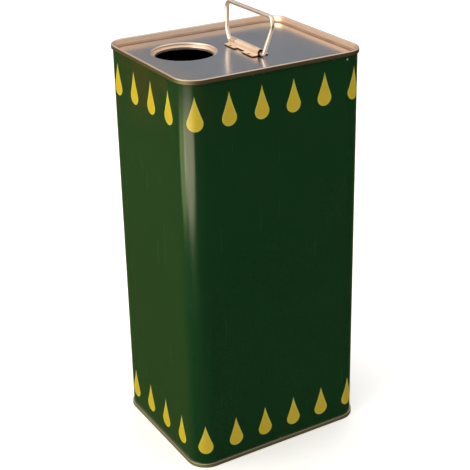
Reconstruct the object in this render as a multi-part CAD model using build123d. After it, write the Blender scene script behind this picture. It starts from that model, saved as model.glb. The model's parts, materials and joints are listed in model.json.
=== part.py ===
from build123d import *
import math
import os

# A five-litre rectangular oil can. Millimetres, +Z up, origin at the bottom centre of the can.
# X runs along the wide faces, Y along the narrow ones, and the wide front faces -Y.

# Overall size
body_width = 148.0
body_depth = 122.0
can_height = 309.0
corner_radius = 15.0
sheet = 0.32

# Double seams: the layers lie side by side, a hair apart
layer_gap = 0.08
seam_height = 3.2
seam_edge_radius = 0.5
seam_foot_radius = 0.3
end_hook_length = 1.6
body_hook_length = 2.0
body_fold_radius = 0.2
compound_gap = 0.04

# Ends
top_countersink = 5.0
bottom_countersink = 4.5
chuck_wall_radius = 1.2
bottom_step_inset = 14.0
bottom_step_height = 1.0
bottom_step_corner = 12.0

# Pour opening: a stepped neck drawn down into the top panel, its raw edge hemmed
opening_x = -30.6
opening_y = 20.0
shoulder_radius = 24.8
shoulder_bend = 1.0
ledge_wall_radius = 23.8
ledge_depth = 2.3
ledge_bend = 0.4
throat_radius = 21.6
throat_bend = 0.7
throat_depth = 4.4
hem_thickness = 0.74
hem_length = 0.7

# Weld along the side seam, on the back face
side_seam_x = -12.0
side_seam_width = 1.6
side_seam_height = 0.2

# Bail handle: one wire, pivoting in the bracket about a line along Y; use has bent its two legs
# differently, the far one (+Y) low down and the near one (-Y) high up
wire_diameter = 3.2
pivot_x = 9.5
pivot_y = -1.0
pivot_above_panel = 1.95
pin_end_gap = 6.0
far_foot_half = 23.2
near_foot_half = 24.3
far_knee_half = 28.3
far_knee_height = 6.5
near_knee_half = 33.0
near_knee_height = 22.0
crown_half = 31.5
crown_height = 28.5
foot_bend = 2.6
far_knee_bend = 10.0
near_knee_bend = 7.5
far_crown_bend = 5.0
near_crown_bend = 4.0
bail_lean = 5.7

# Bracket: a strap folded loosely over the wire, with two feet on each side, which stand on
# small pressed-down projections where they are welded
strap = 0.6
fold_bore_radius = 2.3
fold_above_panel = 2.5
bracket_length = 40.8
bracket_half_width = 7.1
strap_root_radius = 1.2
foot_lift = 0.35
foot_gap = 10.8
foot_corner_radius = 1.6
notch_corner_radius = 1.0
weld_dimple_radius = 1.2
weld_dimple_depth = 0.2
weld_outset = 0.1
crimp_width = 1.0
crimp_depth = 0.4
crimp_spacing = 2.4
crimp_count = 3

# Worked out from the above
panel_z = can_height - top_countersink
chuck_wall_outer = -(sheet + layer_gap)
chuck_wall_inner = chuck_wall_outer - sheet
panel_edge = chuck_wall_inner - chuck_wall_radius
end_hook_inner = layer_gap
end_hook_outer = end_hook_inner + sheet
body_hook_inner = end_hook_outer + layer_gap
body_hook_outer = body_hook_inner + sheet
seam_wall_inner = body_hook_outer + layer_gap
seam_wall_outer = seam_wall_inner + sheet
fold_top = -(sheet + layer_gap)
end_hook_top = -seam_height + end_hook_length
bail_pivot = (pivot_x, pivot_y, panel_z + pivot_above_panel)


def rounded_rectangle(outset):
    """The can's outline, offset outwards by outset, as a face on the XY plane."""
    radius = corner_radius + outset
    return RectangleRounded(body_width + 2 * outset, body_depth + 2 * outset, radius)


def outline_path():
    """The can's outline as a closed wire that starts in the middle of the front face."""
    half_x = body_width / 2
    half_y = body_depth / 2
    straight_x = half_x - corner_radius
    straight_y = half_y - corner_radius
    corners = [
        (straight_x, -straight_y, -90),
        (straight_x, straight_y, 0),
        (-straight_x, straight_y, 90),
        (-straight_x, -straight_y, 180),
    ]
    edges = []
    here = Vector(0, -half_y, 0)
    for centre_x, centre_y, start_angle in corners:
        arc = CenterArc((centre_x, centre_y, 0), corner_radius, start_angle, 90)
        edges.append(Line(here, arc @ 0))
        edges.append(arc)
        here = arc @ 1
    edges.append(Line(here, (0, -half_y, 0)))
    return Wire(edges)


def corner_arc(centre, radius, start_angle, sweep):
    """An arc of a section: centre is (outward, up)."""
    return CenterArc((centre[0], centre[1], 0), radius, start_angle, sweep)


def closed_section(pieces):
    """A face from arcs and single points in order, joined by straight lines."""
    edges = []
    first = None
    last = None
    for piece in pieces:
        start = Vector(*piece) if isinstance(piece, tuple) else piece @ 0
        end = start if isinstance(piece, tuple) else piece @ 1
        if last is not None and (start - last).length > 1e-6:
            edges.append(Line(last, start))
        if not isinstance(piece, tuple):
            edges.append(piece)
        first = start if first is None else first
        last = end
    if (first - last).length > 1e-6:
        edges.append(Line(last, first))
    return make_face(edges)


def sweep_round(section):
    """Carries a section, drawn as (outward, up), round the can's outline."""
    start = Plane(origin=(0, -body_depth / 2, 0), x_dir=(0, -1, 0), z_dir=(-1, 0, 0))
    return sweep(start * section, path=outline_path())


def end_section(countersink):
    """Seam and chuck wall of a can end whose seaming panel is at height 0."""
    edge = seam_edge_radius
    inner_edge = edge - sheet
    foot = seam_foot_radius
    left = chuck_wall_inner + edge
    right = seam_wall_outer - edge
    wall_foot = chuck_wall_radius - countersink
    return closed_section(
        [
            corner_arc((panel_edge, wall_foot), chuck_wall_radius, -90, 90),
            corner_arc((left, -edge), edge, 180, -90),
            corner_arc((right, -edge), edge, 90, -90),
            corner_arc((seam_wall_outer - foot, foot - seam_height), foot, 0, -90),
            corner_arc((end_hook_inner + foot, foot - seam_height), foot, -90, -90),
            (end_hook_inner, end_hook_top),
            (end_hook_outer, end_hook_top),
            (end_hook_outer, sheet - seam_height),
            (seam_wall_inner, sheet - seam_height),
            corner_arc((right, -edge), inner_edge, 0, 90),
            corner_arc((left, -edge), inner_edge, 90, 90),
            corner_arc((panel_edge, wall_foot), chuck_wall_radius + sheet, 0, -90),
        ]
    )


def end_blank(countersink):
    """Swept seam closed by a flat panel, with the seaming panel at height 0."""
    panel = extrude(rounded_rectangle(panel_edge + sheet / 4), sheet)
    return sweep_round(end_section(countersink)) + Pos(0, 0, -countersink - sheet) * panel


def neck_section():
    """The neck as (radius, height above the panel), from shoulder to hem."""
    hem = hem_thickness / 2
    return closed_section(
        [
            corner_arc((shoulder_radius, -shoulder_bend), shoulder_bend, 90, 90),
            corner_arc((ledge_wall_radius - ledge_bend, ledge_bend - ledge_depth), ledge_bend, 0, -90),
            corner_arc((throat_radius + throat_bend, -ledge_depth - throat_bend), throat_bend, 90, 90),
            corner_arc((throat_radius + hem, -throat_depth), hem, 180, 180),
            (throat_radius + hem_thickness, hem_length - throat_depth),
            (throat_radius + sheet, hem_length - throat_depth),
            corner_arc(
                (throat_radius + throat_bend, -ledge_depth - throat_bend), throat_bend - sheet, 180, -90
            ),
            corner_arc(
                (ledge_wall_radius - ledge_bend, ledge_bend - ledge_depth), ledge_bend + sheet, -90, 90
            ),
            corner_arc((shoulder_radius, -shoulder_bend), shoulder_bend - sheet, 180, -90),
        ]
    )


def make_top_end():
    """Top end with the recessed pour opening."""
    neck = revolve(Plane.XZ * neck_section(), Axis.Z)
    hole = Pos(0, 0, -sheet) * Cylinder(shoulder_radius, 4 * sheet)
    blank = Pos(0, 0, can_height) * end_blank(top_countersink)
    at_opening = Pos(opening_x, opening_y, panel_z)
    return blank - at_opening * hole + at_opening * neck


def make_bottom_end():
    """Bottom end, turned over, with a shallow stiffening step pressed inwards."""
    blank = mirror(end_blank(bottom_countersink), about=Plane.XY)
    width = body_width - 2 * bottom_step_inset
    depth = body_depth - 2 * bottom_step_inset
    grow = sheet * math.tan(math.radians(22.5))
    outer = RectangleRounded(width, depth, bottom_step_corner)
    inner = RectangleRounded(width + 2 * grow, depth + 2 * grow, bottom_step_corner + grow)
    dent = extrude(outer, bottom_step_height, taper=45)
    boss = extrude(inner, bottom_step_height, taper=45)
    return blank + Pos(0, 0, bottom_countersink + sheet) * boss - Pos(0, 0, bottom_countersink) * dent


def make_body_shell():
    """Printed sheet rolled into a tube, hooked into both ends and welded down the back."""
    fold = body_fold_radius
    hook_tip = fold_top - body_hook_length
    section = [
        (0, can_height + fold_top - sheet),
        (body_hook_inner, can_height + fold_top - sheet),
        (body_hook_inner, can_height + hook_tip),
        (body_hook_outer, can_height + hook_tip),
        corner_arc((body_hook_outer - fold, can_height + fold_top - fold), fold, 0, 90),
        corner_arc((fold - sheet, can_height + fold_top - fold), fold, 90, 90),
        corner_arc((fold - sheet, fold - fold_top), fold, 180, 90),
        corner_arc((body_hook_outer - fold, fold - fold_top), fold, -90, 90),
        (body_hook_outer, -hook_tip),
        (body_hook_inner, -hook_tip),
        (body_hook_inner, sheet - fold_top),
        (0, sheet - fold_top),
    ]
    tube = sweep_round(closed_section(section))
    clear = seam_height + 2 * sheet
    weld = Box(side_seam_width, sheet + side_seam_height, can_height - 2 * clear)
    weld_y = body_depth / 2 + (side_seam_height - sheet) / 2
    return tube + Pos(side_seam_x, weld_y, can_height / 2) * weld


def make_seam_compound():
    """Bead of sealing compound in the fold, for a seaming panel at height 0."""
    low = end_hook_top + compound_gap
    high = fold_top - sheet - compound_gap
    middle = (end_hook_inner + end_hook_outer) / 2
    bead = Rectangle(sheet - 2 * compound_gap, high - low)
    return sweep_round(Pos(middle, (low + high) / 2) * bead)


def make_handle_bracket():
    """Strap folded over the pivot wire, with welded feet and crimped ridges."""
    bore = fold_bore_radius
    back = bore + strap
    root = strap_root_radius
    half = bracket_half_width
    foot_top = foot_lift + strap
    section = closed_section(
        [
            (half, foot_lift),
            (half, foot_top),
            corner_arc((back + root, foot_top + root), root, -90, -90),
            corner_arc((0, fold_above_panel), back, 0, 180),
            corner_arc((-back - root, foot_top + root), root, 0, -90),
            (-half, foot_top),
            (-half, foot_lift),
            (-bore, foot_lift),
            corner_arc((0, fold_above_panel), bore, 180, -180),
            (bore, foot_lift),
        ]
    )
    upright = Plane(origin=(0, bracket_length / 2, 0), x_dir=(1, 0, 0), z_dir=(0, -1, 0))
    bracket = extrude(upright * section, bracket_length)

    notch_width = half - back - root
    notch_x = back + root + notch_width / 2
    outer_edges = bracket.edges().filter_by(Axis.Z).filter_by(
        lambda edge: abs(abs(edge.center().X) - half) < 0.01
    )
    bracket = fillet(outer_edges, foot_corner_radius)
    for side in (-1, 1):
        notch = Box(notch_width + 0.2, foot_gap, 4 * strap)
        notch = fillet(notch.edges().filter_by(Axis.Z).sort_by(Axis.X)[::side][:2], notch_corner_radius)
        bracket -= Pos(side * (notch_x + 0.1), 0, 0) * notch
        for end in (-1, 1):
            foot_y = end * (bracket_length + foot_gap) / 4
            dimple = Cylinder(weld_dimple_radius, weld_dimple_depth)
            projection = Cylinder(weld_dimple_radius, foot_lift)
            weld_x = side * (notch_x + weld_outset)
            bracket -= Pos(weld_x, foot_y, foot_top - weld_dimple_depth / 2) * dimple
            bracket += Pos(weld_x, foot_y, foot_lift / 2) * projection
    for number in range(crimp_count):
        groove_y = bracket_length / 2 - crimp_spacing * (number + 1)
        ring = Cylinder(back + strap, crimp_width) - Cylinder(back - crimp_depth, crimp_width)
        groove = split(Rot(90, 0, 0) * ring, bisect_by=Plane.XY, keep=Keep.TOP)
        bracket -= Pos(0, groove_y, fold_above_panel) * groove
    return Pos(pivot_x, pivot_y, panel_z) * bracket


def make_bail_handle():
    """One bent wire: two pins in the bracket, splayed legs and a straight crown."""
    points = [
        (0, pin_end_gap / 2, 0),
        (0, far_foot_half, 0),
        (0, far_knee_half, far_knee_height),
        (0, crown_half, crown_height),
        (0, -crown_half, crown_height),
        (0, -near_knee_half, near_knee_height),
        (0, -near_foot_half, 0),
        (0, -pin_end_gap / 2, 0),
    ]
    bends = [foot_bend, far_knee_bend, far_crown_bend, near_crown_bend, near_knee_bend, foot_bend]
    path = FilletPolyline(*points, radius=bends)
    start = Plane(origin=path @ 0, z_dir=path % 0)
    wire = sweep(start * Circle(wire_diameter / 2), path=path)
    ends = wire.edges().filter_by(GeomType.CIRCLE).filter_by(
        lambda edge: abs(abs(edge.center().Y) - pin_end_gap / 2) < 0.01
    )
    wire = fillet(ends, wire_diameter / 8)
    return Pos(*bail_pivot) * Rot(0, bail_lean, 0) * wire


pieces = {
    "body_shell": make_body_shell(),
    "top_end": make_top_end(),
    "bottom_end": make_bottom_end(),
    "top_seam_compound": Pos(0, 0, can_height) * make_seam_compound(),
    "bottom_seam_compound": mirror(make_seam_compound(), about=Plane.XY),
    "handle_bracket": make_handle_bracket(),
    "bail_handle": make_bail_handle(),
}

os.makedirs("parts", exist_ok=True)
for name, shape in pieces.items():
    export_step(shape, f"parts/{name}.step")
    box = shape.bounding_box()
    low = tuple(round(value, 3) for value in box.min)
    high = tuple(round(value, 3) for value in box.max)
    print(name, len(shape.solids()), round(shape.volume, 1), low, high)
print("bail pivot", bail_pivot)
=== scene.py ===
import json
import math

import bpy
from mathutils import Matrix, Vector


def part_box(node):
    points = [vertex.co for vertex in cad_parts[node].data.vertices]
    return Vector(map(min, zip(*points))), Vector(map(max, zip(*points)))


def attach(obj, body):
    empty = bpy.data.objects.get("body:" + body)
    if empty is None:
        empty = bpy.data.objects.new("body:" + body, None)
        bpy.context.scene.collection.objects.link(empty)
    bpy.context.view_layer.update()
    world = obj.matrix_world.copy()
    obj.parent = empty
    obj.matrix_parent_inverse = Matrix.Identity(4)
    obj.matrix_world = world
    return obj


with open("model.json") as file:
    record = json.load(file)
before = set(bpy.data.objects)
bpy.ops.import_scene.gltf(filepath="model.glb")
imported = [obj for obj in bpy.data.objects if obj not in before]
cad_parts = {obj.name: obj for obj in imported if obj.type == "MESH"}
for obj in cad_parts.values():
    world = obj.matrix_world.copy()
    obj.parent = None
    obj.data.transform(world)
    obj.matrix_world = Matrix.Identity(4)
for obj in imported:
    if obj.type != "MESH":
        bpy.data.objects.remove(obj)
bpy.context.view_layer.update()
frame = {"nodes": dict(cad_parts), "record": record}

mm = 0.001

# Sizes of the can's sheet, seams, neck and bracket
sheet = 0.32 * mm
corner_radius = 15 * mm
seam_standoff = 1.2 * mm
neck_outset = 3.2 * mm
fold_above_panel = 2.5 * mm
fold_bore = 2.3 * mm
fold_back = 2.9 * mm
feet_above_panel = 0.95 * mm
side_seam_x = -12 * mm

# Places read from the frame
rim_low, rim_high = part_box("top_end")
bracket_low, bracket_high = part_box("handle_bracket")
mounts = {mount["name"]: mount for mount in frame["record"]["mounts"]}
opening_x, opening_y = mounts["pour_opening"]["pos_m"][:2]
shoulder_radius = mounts["pour_opening"]["dims"]["r_mm"] * mm + neck_outset
half_width = rim_high.x - seam_standoff
half_depth = rim_high.y - seam_standoff
rim_top = rim_high.z
panel_top = bracket_low.z
fold_x = (bracket_low.x + bracket_high.x) / 2
fold_z = panel_top + fold_above_panel
foot_top = panel_top + feet_above_panel

# The body's outline: straight sides between round corners
straight_x = half_width - corner_radius
straight_y = half_depth - corner_radius
corner_length = corner_radius * math.pi / 2
outline_length = 4 * (straight_x + straight_y + corner_length)

# Printed rows; places run along the outline from the front's left end
drop_radius = 5.9 * mm
drop_height = 24.9 * mm
drop_hollow = 1.2
drop_spacing = 26.17 * mm
first_drop_place = -7.55 * mm
first_drop = -6
last_drop = 12
upper_tip_below_rim = 11.8 * mm
lower_foot_above_base = 12.1 * mm
ink_thickness = 0.03 * mm
ink_clearance = 0.01 * mm
edge_points = 64
crease_angle = 40

# Marks on the print
bare_stripe_half = 5.5 * mm
stripe_blur = 0.4 * mm
weld_burn_half = 1.0 * mm
weld_burn_end = 2.6 * mm
chip_x = 57.7 * mm
chip_z = 303.4 * mm
chip_radius = 0.5 * mm
chip_blur = 0.4 * mm

# Camera, in degrees and metres; the pan, tilt and roll follow the aim at the can's middle
view_azimuth = -30.304
view_elevation = 24.964
view_distance = 0.92111
view_pan = -1.102
view_tilt = 1.294
view_roll = 1.155
view_lens = 90.395
view_sensor = 36
view_shift = -0.0532
view_middle = Vector((0, 0, 0.1545))

# Studio
floor_size = 16
floor_glow = 0.22
glint_distance = 0.42
light_aim = (0, 0, 0.15)
overhead_aim = (0.3, 0.5, 0)


class Socket:
    """A shader value that can be used in sums; numbers and other values mix freely."""

    def __init__(self, tree, link):
        self.tree = tree
        self.link = link

    def math(self, operation, *values):
        node = self.tree.nodes.new("ShaderNodeMath")
        node.operation = operation
        for socket, value in zip(node.inputs, values):
            if isinstance(value, Socket):
                self.tree.links.new(value.link, socket)
            else:
                socket.default_value = value
        return Socket(self.tree, node.outputs[0])

    def __add__(self, other):
        return self.math("ADD", self, other)

    def __radd__(self, other):
        return self.math("ADD", other, self)

    def __sub__(self, other):
        return self.math("SUBTRACT", self, other)

    def __rsub__(self, other):
        return self.math("SUBTRACT", other, self)

    def __mul__(self, other):
        return self.math("MULTIPLY", self, other)

    def __rmul__(self, other):
        return self.math("MULTIPLY", other, self)

    def __abs__(self):
        return self.math("ABSOLUTE", self)

    def __pow__(self, power):
        return self.math("POWER", self, power)

    def at_least(self, other):
        return self.math("MAXIMUM", self, other)

    def at_most(self, other):
        return self.math("MINIMUM", self, other)


class Finish:
    """A material or world under construction: its nodes and the object's own coordinates."""

    def __init__(self, name, holder=None):
        self.material = holder or bpy.data.materials.new(name)
        self.material.use_nodes = True
        self.tree = self.material.node_tree
        self.tree.nodes.clear()
        self.place = self.node("ShaderNodeTexCoord", {}, {}, "Object")

    def node(self, kind, settings, sockets, output=0):
        """Any node: settings first, then the values or links of its sockets; gives one output."""
        made = self.tree.nodes.new(kind)
        for name, value in settings.items():
            setattr(made, name, value)
        for name, value in sockets.items():
            if isinstance(value, Socket):
                self.tree.links.new(value.link, made.inputs[name])
            else:
                made.inputs[name].default_value = value
        return Socket(self.tree, made.outputs[output])

    def parts(self, vector):
        """The x, y and z of a vector."""
        split = self.node("ShaderNodeSeparateXYZ", {}, {"Vector": vector})
        return [Socket(self.tree, output) for output in split.link.node.outputs]

    def noise(self, place, scale, detail=2.0, roughness=0.5):
        values = {"Vector": place, "Scale": scale, "Detail": detail, "Roughness": roughness}
        return self.node("ShaderNodeTexNoise", {}, values)

    def stretched(self, scale, turn=(0, 0, 0)):
        """The object's coordinates, turned and then scaled differently along each axis."""
        turned = self.node("ShaderNodeMapping", {}, {"Vector": self.place, "Rotation": turn})
        return self.node("ShaderNodeMapping", {}, {"Vector": turned, "Scale": scale})

    def fade(self, value, start, end):
        """0 at start, 1 at end, smooth between; start may be above end."""
        limits = {"Value": value, "From Min": start, "From Max": end}
        return self.node("ShaderNodeMapRange", {"interpolation_type": "SMOOTHSTEP"}, limits)

    def mix(self, factor, first, second):
        """Colours mixed; each is a link or three numbers."""
        ends = []
        for colour in (first, second):
            ends.append(colour if isinstance(colour, Socket) else (*colour, 1))
        sockets = {0: factor, 6: ends[0], 7: ends[1]}
        return self.node("ShaderNodeMix", {"data_type": "RGBA"}, sockets, 2)

    def bump(self, height, distance, under=None):
        sockets = {"Height": height, "Distance": distance}
        if under is not None:
            sockets["Normal"] = under
        return self.node("ShaderNodeBump", {}, sockets)

    def distance_from(self, along, across, centre_along, centre_across):
        """Distance in a plane from the point with these two coordinates."""
        return ((along - centre_along) ** 2 + (across - centre_across) ** 2) ** 0.5

    def outside_body(self):
        """Distance outwards from the printed body's outer face, negative inside it."""
        x, y, z = self.parts(self.place)
        past_x = abs(x) - straight_x
        past_y = abs(y) - straight_y
        round_corner = (past_x.at_least(0) ** 2 + past_y.at_least(0) ** 2) ** 0.5
        flat_side = past_x.at_least(past_y).at_most(0)
        return round_corner + flat_side - corner_radius

    def scratches(self, turn, coarse, fine, level):
        """Thin marks along one direction: 1 on a mark, 0 off it."""
        lines = self.noise(self.stretched((coarse, fine, fine), turn), 1.0, 1.0)
        patches = self.noise(self.place, 30.0)
        return self.fade(lines, level, level + 0.02) * self.fade(patches, 0.5, 0.62)

    def finish(self, **sockets):
        """Adds the Principled shader with these sockets and returns the material."""
        named = {name.replace("_", " "): value for name, value in sockets.items()}
        shader = self.node("ShaderNodeBsdfPrincipled", {}, named)
        output = self.tree.nodes.new("ShaderNodeOutputMaterial")
        self.tree.links.new(shader.link, output.inputs["Surface"])
        return self.material


def green_ink_and_sheen(paint, x, y, z, scratch):
    """Colour of the print: cloudy green, a painted yellow-olive sheen high on the left face, and one
    pale chip.
    """
    cloud = paint.noise(paint.place, 9.0, 3.0)
    grain = paint.noise(paint.place, 2600.0)
    green = paint.mix(cloud, (0.0032, 0.032, 0.0068), (0.006, 0.041, 0.0095))
    green = paint.mix(paint.fade(grain, 0.45, 0.75) * 0.3, green, (0.011, 0.052, 0.014))
    green = paint.mix(scratch * 0.2, green, (0.05, 0.1, 0.04))

    # Painted sheen: a yellow-olive tint, in patches, high on the left face where the light falls
    high = paint.fade(z, rim_top - 60 * mm, rim_top - 15 * mm)
    left_sheen_side = paint.fade(x, 25 * mm - half_width, 5 * mm - half_width)
    patches = paint.fade(paint.noise(paint.place, 34.0, 3.0), 0.4, 0.65)
    green = paint.mix(high * left_sheen_side * patches * 0.8, green, (0.036, 0.036, 0.007))

    from_chip = paint.distance_from(x, z, chip_x, chip_z)
    chip = paint.fade(from_chip, chip_radius + chip_blur, chip_radius)
    on_front = paint.fade(y, 1 * mm - half_depth, -half_depth)
    return paint.mix(chip * on_front, green, (0.42, 0.46, 0.38))


def printed_green():
    """Lacquered print over tinplate: green outside, bare down the weld stripe and inside, where the
    bare metal is painted dark as shade.
    """
    paint = Finish("printed_green")
    x, y, z = paint.parts(paint.place)
    outer_face = paint.fade(paint.outside_body(), -sheet * 0.7, -sheet * 0.3)

    upright = paint.scratches((0, math.pi / 2, 0), 14.0, 1900.0, 0.73)
    slanted = paint.scratches((0, 0.5, 0.6), 22.0, 1500.0, 0.76)
    scratch = upright.at_least(slanted)
    green = green_ink_and_sheen(paint, x, y, z, scratch)

    from_weld = abs(x - side_seam_x)
    ragged = from_weld + paint.noise(paint.place, 260.0) * 1.2 * mm
    on_back = paint.fade(y, half_depth * 0.8, half_depth * 0.9)
    stripe = paint.fade(ragged, bare_stripe_half + stripe_blur, bare_stripe_half) * on_back
    rolled = paint.noise(paint.stretched((30, 30, 900)), 1.0)
    tin = paint.mix(rolled, (0.42, 0.4, 0.37), (0.6, 0.57, 0.53))
    burnt = paint.fade(from_weld, weld_burn_end, weld_burn_half)
    tin = paint.mix(burnt * 0.7, tin, (0.2, 0.13, 0.08))

    near_ends = paint.fade(z, rim_top - 7 * mm, rim_top - 3.5 * mm) + paint.fade(z, 9 * mm, 3.5 * mm)
    chipped = paint.noise(paint.place, 420.0, 4.0, 0.7)
    rubbed = paint.fade(chipped + near_ends * 0.12, 0.77, 0.8)
    bare = stripe.at_least(rubbed * 0.8)

    # Painted shade inside the can: a dark brown, mottled at random
    inside_mottle = paint.fade(paint.noise(paint.place, 18.0, 4.0), 0.35, 0.65)
    shaded_inside = paint.mix(inside_mottle, (0.11, 0.08, 0.045), (0.03, 0.022, 0.012))
    colour = paint.mix(outer_face, shaded_inside, paint.mix(bare, green, tin))

    smudge = paint.noise(paint.place, 26.0, 5.0, 0.65)
    lacquer = 0.13 + smudge * 0.12 + scratch * 0.15
    waves = paint.bump(paint.noise(paint.place, 13.0, 1.0), 0.35 * mm)
    film = paint.bump(paint.noise(paint.place, 900.0), 0.004 * mm, waves)
    return paint.finish(
        Base_Color=colour,
        Metallic=bare.at_least(1 - outer_face),
        Roughness=lacquer * (1 - bare) + bare * 0.3,
        Specular_IOR_Level=0.5,
        Normal=paint.bump(1 - scratch.at_least(rubbed), 0.012 * mm, film),
    )


def yellow_ink():
    """Opaque yellow ink, a little paler towards a droplet's edge, with pinholes and a fine grain."""
    paint = Finish("yellow_ink")
    cloud = paint.noise(paint.place, 60.0, 3.0)
    grain = paint.noise(paint.place, 2400.0)
    yellow = paint.mix(cloud, (0.52, 0.355, 0.002), (0.59, 0.42, 0.005))
    reach = paint.node("ShaderNodeAttribute", {"attribute_name": "reach"}, {}, "Fac")
    yellow = paint.mix(paint.fade(reach, 0.62, 0.98) * 0.75, yellow, (0.53, 0.485, 0.05))
    yellow = paint.mix(paint.fade(grain, 0.5, 0.8) * 0.25, yellow, (0.5, 0.42, 0.06))
    pinholes = paint.fade(paint.noise(paint.place, 1300.0, 1.0), 0.79, 0.82)
    yellow = paint.mix(pinholes * 0.8, yellow, (0.02, 0.06, 0.015))
    smudge = paint.noise(paint.place, 26.0, 5.0, 0.65)
    return paint.finish(
        Base_Color=yellow,
        Roughness=0.22 + smudge * 0.16,
        Specular_IOR_Level=0.5,
        Normal=paint.bump(grain, 0.003 * mm),
    )


def rolled_tinplate():
    """Bright tinplate with its rolling grain along X, handling scratches and brown specks."""
    paint = Finish("bright_tinplate")
    x, y, z = paint.parts(paint.place)
    bright = (0.74, 0.72, 0.7)
    bluish = (0.55, 0.56, 0.58)
    warm = (0.84, 0.7, 0.57)
    outside = paint.outside_body()
    on_top_half = paint.fade(z, 0.1, 0.2)

    grain = paint.noise(paint.stretched((25, 1400, 900)), 1.0, 3.0)
    cloud = paint.noise(paint.place, 16.0, 4.0, 0.6)
    colour = paint.mix(cloud, bluish, bright)
    colour = paint.mix(grain * 0.25, colour, bluish)
    tarnish = paint.noise(paint.place, 11.0) * 0.7 + paint.fade(abs(x), 35 * mm, 75 * mm) * 0.5
    colour = paint.mix(paint.fade(tarnish, 0.35, 0.9) * 0.6, colour, warm)

    # Where the press tools have shaped the sheet: the seam and the opening's neck, rougher there and
    # tinted warm as a painted reflection
    seam = paint.fade(outside, -2.6 * mm, -1.2 * mm)
    from_opening = paint.distance_from(x, y, opening_x, opening_y)
    neck = paint.fade(from_opening, shoulder_radius + 0.4 * mm, shoulder_radius - 0.6 * mm)
    neck = neck * paint.fade(z, panel_top - 40 * mm, panel_top - 20 * mm)
    worked_and_warm_reflection = seam.at_least(neck)
    colour = paint.mix(worked_and_warm_reflection * 0.75, colour, warm)

    # Painted shade, brown and uneven, along the foot of the top's wall
    near_wall = paint.fade(outside, -4.4 * mm, -3.4 * mm)
    wall_foot_shade = near_wall * paint.fade(z, panel_top + 1.5 * mm, panel_top + 0.7 * mm)
    uneven = 0.45 + paint.noise(paint.place, 55.0, 3.0) * 0.6
    colour = paint.mix(wall_foot_shade * on_top_half * uneven, colour, (0.3, 0.19, 0.13))
    # Painted reflection on the outer side of both seams: dark olive on the top seam, pale grey-olive
    # on the bottom one
    below_top = paint.fade(z, rim_top - 0.1 * mm, rim_top - 0.5 * mm)
    above_base = paint.fade(z, 0.1 * mm, 0.5 * mm)
    rim_side = paint.fade(outside, 0.5 * mm, 0.9 * mm) * below_top * above_base
    rim_reflection = paint.mix(on_top_half, (0.36, 0.35, 0.21), (0.14, 0.12, 0.045))
    colour = paint.mix(rim_side * 0.9, colour, rim_reflection)

    specks = paint.noise(paint.place, 700.0, 3.0, 0.6)
    stained = paint.fade(specks + worked_and_warm_reflection * 0.03, 0.72, 0.78)
    colour = paint.mix(stained * 0.8, colour, (0.16, 0.09, 0.05))

    along = paint.scratches((0, 0, 0.35), 12.0, 1600.0, 0.72)
    across = paint.scratches((0, 0, -1.1), 16.0, 1900.0, 0.74)
    smear = paint.noise(paint.place, 42.0, 5.0, 0.7)
    sag = paint.bump(paint.noise(paint.place, 15.0, 1.0), 0.3 * mm)
    rolled = paint.bump(grain, 0.0025 * mm, sag)
    return paint.finish(
        Base_Color=colour,
        Metallic=1.0,
        Roughness=0.1 + smear * 0.16 + grain * 0.05 + worked_and_warm_reflection * 0.2 + stained * 0.3 + rim_side * 0.1,
        Normal=paint.bump(1 - along.at_least(across), 0.006 * mm, rolled),
    )


def bracket_steel():
    """Tinned strap, streaked and bruised by its press tools, with dark painted shade at its cut edges
    and inside its fold.
    """
    paint = Finish("bracket_steel")
    x, y, z = paint.parts(paint.place)
    cloud = paint.noise(paint.place, 130.0, 4.0, 0.6)
    grain = paint.noise(paint.stretched((1800, 90, 1800)), 1.0, 3.0)
    streak = paint.noise(paint.stretched((520, 34, 520)), 1.0, 3.0, 0.6)
    colour = paint.mix(cloud, (0.72, 0.54, 0.39), (0.95, 0.8, 0.64))
    colour = paint.mix(paint.fade(grain, 0.5, 0.8) * 0.4, colour, (0.95, 0.84, 0.7))
    colour = paint.mix(paint.fade(streak, 0.5, 0.62) * 0.6, colour, (0.72, 0.44, 0.2))
    colour = paint.mix(paint.fade(streak, 0.46, 0.36) * 0.5, colour, (0.88, 0.7, 0.66))

    from_fold = paint.distance_from(x, z, fold_x, fold_z)
    # Painted shade: dark at the feet's cut edges, in the fold's bore and in the far crimp; dull joins
    # this painted shade with real rust spots
    cut_edge_shade = paint.fade(z, foot_top - 0.06 * mm, foot_top - 0.2 * mm)
    bore_shade = paint.fade(from_fold, fold_bore + 0.2 * mm, fold_bore + 0.05 * mm)
    crimp_shade = paint.fade(from_fold, fold_back - 0.08 * mm, fold_back - 0.2 * mm)
    crimp_shade = crimp_shade * paint.fade(y, 5 * mm, 6 * mm) * 0.7
    rust = paint.fade(paint.noise(paint.place, 520.0, 4.0, 0.7), 0.62, 0.72) * 0.6
    dull = rust.at_least(cut_edge_shade).at_least(bore_shade).at_least(crimp_shade)
    bruise = paint.bump(paint.noise(paint.place, 330.0, 3.0), 0.08 * mm)
    return paint.finish(
        Base_Color=paint.mix(dull, colour, (0.085, 0.045, 0.022)),
        Metallic=0.7 - dull * 0.4,
        Roughness=0.26 + cloud * 0.14 + dull * 0.35,
        Normal=paint.bump(grain, 0.006 * mm, bruise),
    )


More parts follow.
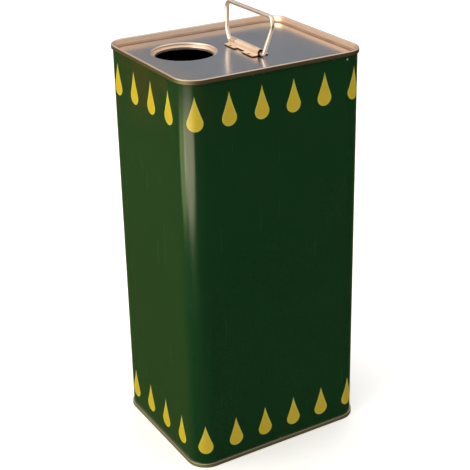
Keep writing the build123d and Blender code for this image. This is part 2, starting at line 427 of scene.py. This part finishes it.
def drawn_wire():
    """Tinned drawn wire: faint die lines, small nicks and dull patches."""
    paint = Finish("drawn_wire")
    cloud = paint.noise(paint.place, 90.0, 4.0, 0.6)
    lines = paint.noise(paint.stretched((2600, 120, 60)), 1.0)
    nick = paint.fade(paint.noise(paint.place, 800.0), 0.7, 0.76)
    colour = paint.mix(cloud, (0.68, 0.59, 0.52), (0.86, 0.8, 0.75))
    colour = paint.mix(paint.fade(lines, 0.5, 0.8) * 0.35, colour, (0.5, 0.4, 0.31))
    return paint.finish(
        Base_Color=paint.mix(nick * 0.7, colour, (0.3, 0.2, 0.13)),
        Metallic=1.0,
        Roughness=0.26 + cloud * 0.16 + nick * 0.25,
        Normal=paint.bump(lines - nick, 0.01 * mm),
    )


def seam_rubber():
    """Grey sealing compound with a dusty, slightly pitted skin."""
    paint = Finish("seam_rubber")
    cloud = paint.noise(paint.place, 240.0, 4.0)
    pits = paint.noise(paint.place, 3000.0)
    return paint.finish(
        Base_Color=paint.mix(cloud, (0.22, 0.2, 0.18), (0.36, 0.34, 0.3)),
        Roughness=0.65 + pits * 0.2,
        Normal=paint.bump(pits, 0.02 * mm),
    )


def pale_floor():
    """Plain pale studio floor, faintly uneven, with a glow of its own to keep its shadows light."""
    paint = Finish("pale_floor")
    cloud = paint.noise(paint.place, 3.0)
    colour = paint.mix(cloud, (0.86, 0.86, 0.86), (0.88, 0.88, 0.88))
    return paint.finish(
        Base_Color=colour,
        Roughness=0.9,
        Specular_IOR_Level=0.0,
        Emission_Color=colour,
        Emission_Strength=floor_glow,
    )


def use_finish(node, material):
    """Gives a CAD node its material, in every slot of its object."""
    piece = frame["nodes"][node]
    for slot in piece.material_slots:
        slot.link = "OBJECT"
        slot.material = material


def deselect_all():
    for item in bpy.context.selected_objects:
        item.select_set(False)


def round_the_body(distance):
    """Point and outward direction on the body's outline, measured from the front's left end."""
    centres = [
        Vector((-straight_x, -straight_y)),
        Vector((straight_x, -straight_y)),
        Vector((straight_x, straight_y)),
        Vector((-straight_x, straight_y)),
    ]
    left = distance % outline_length
    for number in range(4):
        flat = 2 * (straight_y if number % 2 else straight_x)
        turn = number * math.pi / 2
        along = Vector((math.cos(turn), math.sin(turn)))
        outward = Vector((math.sin(turn), -math.cos(turn)))
        if left <= flat:
            return centres[number] + outward * corner_radius + along * left, outward
        left -= flat
        if left <= corner_length:
            turn += left / corner_radius
            outward = Vector((math.sin(turn), -math.cos(turn)))
            return centres[(number + 1) % 4] + outward * corner_radius, outward
        left -= corner_length
    return centres[0] + Vector((0, -corner_radius)), Vector((0, -1))


def droplet_edge(turn):
    """Point on a droplet's edge, foot at y = 0; turn is 0 at the tip and pi at the foot."""
    reach = drop_height - drop_radius
    side_turn = math.acos(drop_radius / reach)
    part = min(abs(turn) / side_turn, 1)
    on_disc = max(abs(turn), side_turn)
    x = math.copysign(drop_radius * math.sin(on_disc), turn)
    y = drop_radius * (1 + math.cos(on_disc))
    return Vector((x * part ** drop_hollow, drop_height + (y - drop_height) * part, 0))


def model_droplet():
    """One flat droplet in the XY plane: a filled disc drawn out along straight sides to a tip.

    Its attribute "reach" runs from 0 at the droplet's heart to 1 at its edge.
    """
    deselect_all()
    bpy.ops.mesh.primitive_circle_add(vertices=edge_points, radius=1, location=(0, 0, 0))
    droplet = bpy.context.object
    bpy.ops.object.mode_set(mode="EDIT")
    bpy.ops.mesh.select_all(action="SELECT")
    bpy.ops.mesh.fill_grid(span=edge_points // 4)
    bpy.ops.object.mode_set(mode="OBJECT")
    heart = Vector((0, drop_radius, 0))
    reaches = droplet.data.attributes.new("reach", "FLOAT", "POINT")
    for vertex in droplet.data.vertices:
        turn = math.atan2(vertex.co.x, vertex.co.y)
        reach = vertex.co.length
        reaches.data[vertex.index].value = reach
        vertex.co = heart + (droplet_edge(turn) - heart) * reach
    bpy.ops.object.mode_set(mode="EDIT")
    bpy.ops.mesh.select_all(action="SELECT")
    bpy.ops.mesh.normals_make_consistent(inside=False)
    bpy.ops.object.mode_set(mode="OBJECT")
    return droplet


def droplet_row(pattern, name, foot_height, ink):
    """A row of ink droplets wrapped round the body, their lowest points at foot_height."""
    copies = []
    for number in range(first_drop, last_drop + 1):
        mesh = pattern.data.copy()
        middle = first_drop_place + number * drop_spacing
        for vertex in mesh.vertices:
            place, outward = round_the_body(middle + vertex.co.x)
            place = place + outward * ink_clearance
            vertex.co = (place.x, place.y, foot_height + vertex.co.y)
        copy = bpy.data.objects.new(name, mesh)
        bpy.context.scene.collection.objects.link(copy)
        copies.append(copy)
    deselect_all()
    for copy in copies:
        copy.select_set(True)
    row = copies[0]
    bpy.context.view_layer.objects.active = row
    bpy.ops.object.join()
    row.name = name
    skin = row.modifiers.new("ink", "SOLIDIFY")
    skin.thickness = ink_thickness
    skin.offset = 1
    bpy.ops.object.modifier_apply(modifier=skin.name)
    bpy.ops.object.shade_smooth_by_angle(angle=math.radians(crease_angle))
    row.data.materials.clear()
    row.data.materials.append(ink)
    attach(row, "can")


def set_camera():
    """The camera, aimed at the middle of the can and then panned, tilted and rolled a little."""
    azimuth = math.radians(view_azimuth)
    elevation = math.radians(view_elevation)
    flat = math.cos(elevation)
    back = Vector((math.sin(azimuth) * flat, -math.cos(azimuth) * flat, math.sin(elevation)))
    forward = -back
    right = forward.cross(Vector((0, 0, 1))).normalized()
    up = right.cross(forward)
    pan = Matrix.Rotation(math.radians(view_pan), 3, up)
    tilt = Matrix.Rotation(math.radians(view_tilt), 3, right)
    forward, right, up = (pan @ tilt @ axis for axis in (forward, right, up))
    roll = Matrix.Rotation(math.radians(view_roll), 3, forward)
    right, up = roll @ right, roll @ up
    data = bpy.data.cameras.new("camera")
    data.lens = view_lens
    data.sensor_width = view_sensor
    data.shift_x = view_shift
    data.shift_y = view_shift
    data.clip_start = 0.05
    data.clip_end = 50
    camera = bpy.data.objects.new("camera", data)
    bpy.context.scene.collection.objects.link(camera)
    camera.rotation_mode = "QUATERNION"
    camera.location = view_middle + back * view_distance
    camera.rotation_quaternion = Matrix((right, up, -forward)).transposed().to_quaternion()
    bpy.context.scene.camera = camera


def softbox(name, place, aim, size, power, colour, shape="RECTANGLE"):
    """A flat studio light at place, facing aim."""
    data = bpy.data.lights.new(name, "AREA")
    data.shape = shape
    data.size, data.size_y = size
    data.energy = power
    data.color = colour
    light = bpy.data.objects.new(name, data)
    bpy.context.scene.collection.objects.link(light)
    light.location = place
    light.rotation_mode = "QUATERNION"
    light.rotation_quaternion = (Vector(aim) - Vector(place)).to_track_quat("-Z", "Y")
    light.visible_camera = False
    return light


def glint_card(name, bearing, width, low, high, power, colour):
    """An upright oval card beside the near corner, seen only in gloss."""
    turn = math.radians(bearing)
    towards = Vector((-math.sin(turn), -math.cos(turn), 0))
    aim = Vector((-straight_x, -straight_y, (low + high) / 2))
    place = aim + towards * glint_distance
    card = softbox(name, place, aim, (width, high - low), power, colour, "ELLIPSE")
    card.visible_diffuse = False


def set_surround():
    """Seen only in gloss: warm and bright, but grey low behind the can, and dark below."""
    world = bpy.data.worlds.new("surround")
    bpy.context.scene.world = world
    world.use_nodes = True
    world.cycles_visibility.diffuse = False
    paint = Finish("surround", world)
    direction = paint.node("ShaderNodeTexCoord", {}, {}, "Generated")
    x, y, z = paint.parts(direction)
    behind = x * 0.52 + y * 0.85
    sky = paint.mix(paint.fade(behind, 0.8, 0.56), (0.265, 0.277, 0.303), (1.0, 0.82, 0.69))
    sky = paint.mix(paint.fade(z, 0.5, 0.75), sky, (1.1, 0.98, 0.88))
    sky = paint.mix(paint.fade(z, 0.07, 0.2), (0.62, 0.62, 0.62), sky)
    ground = paint.mix(paint.fade(y, -0.2, 0.6), (0.012, 0.012, 0.01), (0.13, 0.13, 0.035))
    colour = paint.mix(paint.fade(z, -0.06, 0.03), ground, sky)
    glow = paint.node("ShaderNodeBackground", {}, {"Color": colour})
    output = paint.tree.nodes.new("ShaderNodeOutputWorld")
    paint.tree.links.new(glow.link, output.inputs["Surface"])


def set_studio():
    """Floor, soft lights, the glints down the near corner, and the surround."""
    deselect_all()
    bpy.ops.mesh.primitive_plane_add(size=floor_size, location=(0, 0, 0))
    floor = bpy.context.object
    floor.name = "floor"
    floor.data.materials.append(pale_floor())
    floor.visible_glossy = False

    softbox("key_left", (-1.9, 0.0, 0.95), light_aim, (2.0, 1.8), 34, (1.0, 0.93, 0.82))
    overhead = softbox("overhead", (0.3, 0.5, 2.5), overhead_aim, (4, 4), 135, (1.0, 0.985, 0.965))
    overhead.visible_glossy = False
    cream = (1.0, 0.9, 0.62)
    olive = (0.86, 1.0, 0.4)
    glint_card("glint_main", bearing=65, width=0.46, low=0.015, high=0.16, power=0.85, colour=cream)
    glint_card("glint_side", bearing=103, width=0.3, low=0.02, high=0.15, power=0.26, colour=olive)
    set_surround()
    bpy.context.scene.view_settings.view_transform = "Standard"


set_camera()
set_studio()

tinplate = rolled_tinplate()
rubber = seam_rubber()
use_finish("body_shell", printed_green())
use_finish("top_end", tinplate)
use_finish("bottom_end", tinplate)
use_finish("handle_bracket", bracket_steel())
use_finish("bail_handle", drawn_wire())
use_finish("top_seam_compound", rubber)
use_finish("bottom_seam_compound", rubber)

yellow = yellow_ink()
droplet = model_droplet()
droplet_row(droplet, "upper_droplets", rim_top - upper_tip_below_rim - drop_height, yellow)
droplet_row(droplet, "lower_droplets", lower_foot_above_base, yellow)
bpy.data.objects.remove(droplet)
